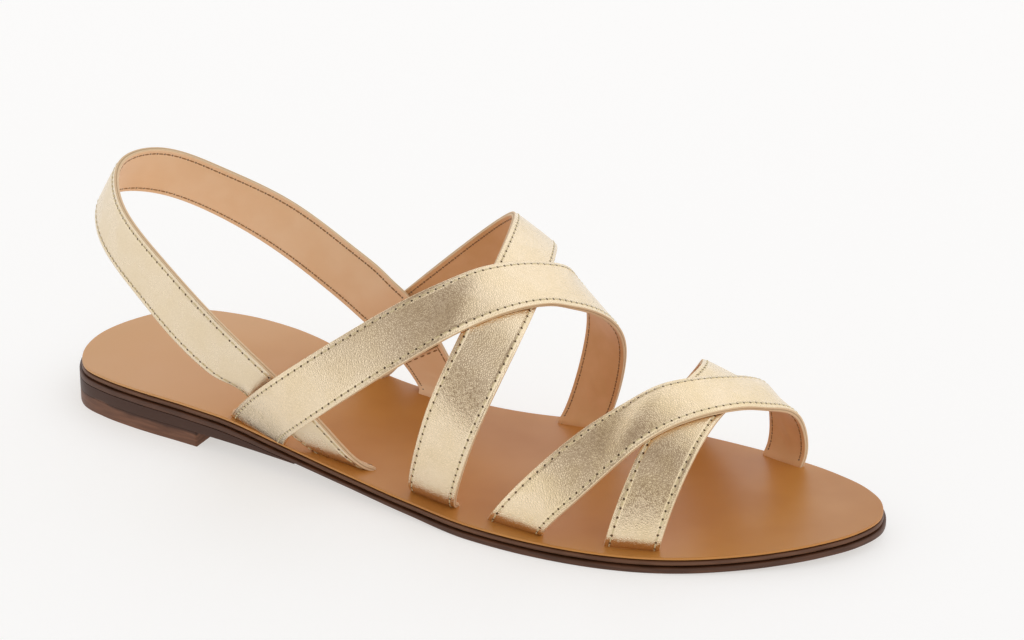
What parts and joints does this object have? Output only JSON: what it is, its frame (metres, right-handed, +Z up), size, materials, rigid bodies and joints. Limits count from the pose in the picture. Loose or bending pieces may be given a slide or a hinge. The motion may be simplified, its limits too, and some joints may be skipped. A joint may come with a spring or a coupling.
{
  "type": "cross strap sandal",
  "caption": "Flat leather sandal with crossed metallic straps over the instep and the toes and a heel sling with an elastic insert.",
  "frame": {"origin": "middle of the flat under the heel lift, on the floor", "axes": "+X from heel to toe, +Y to the wearer's inner side, +Z up"},
  "size_m": [0.2514, 0.0888, 0.0746],
  "materials": {
    "lift_leather": "reddish brown, burnished, semi-gloss",
    "wedge_leather": "dark brown edge, burnished, semi-gloss",
    "outsole_leather": "dark brown edge, burnished, semi-gloss",
    "midsole_leather": "dark brown edge, burnished, semi-gloss",
    "footbed_leather": "smooth tan, semi-gloss",
    "gold_foil_leather": "pale gold metallic foil, fine pebble grain",
    "toe_foil_leather": "pale gold metallic foil, fine pebble grain",
    "sling_foil_leather": "pale gold metallic foil, fine pebble grain",
    "tab_foil_leather": "pale gold metallic foil, fine pebble grain",
    "ribbed_elastic": "bronze ribbed elastic, matte"
  },
  "bodies": {
    "root": {"heel_lift": "lift_leather", "heel_wedge": "wedge_leather", "outsole": "outsole_leather", "midsole": "midsole_leather", "footbed": "footbed_leather", "instep_straps": "gold_foil_leather", "toe_straps": "toe_foil_leather", "sling_strap": "sling_foil_leather", "elastic": "ribbed_elastic", "sling_tab": "tab_foil_leather"}
  },
  "joints": []
}
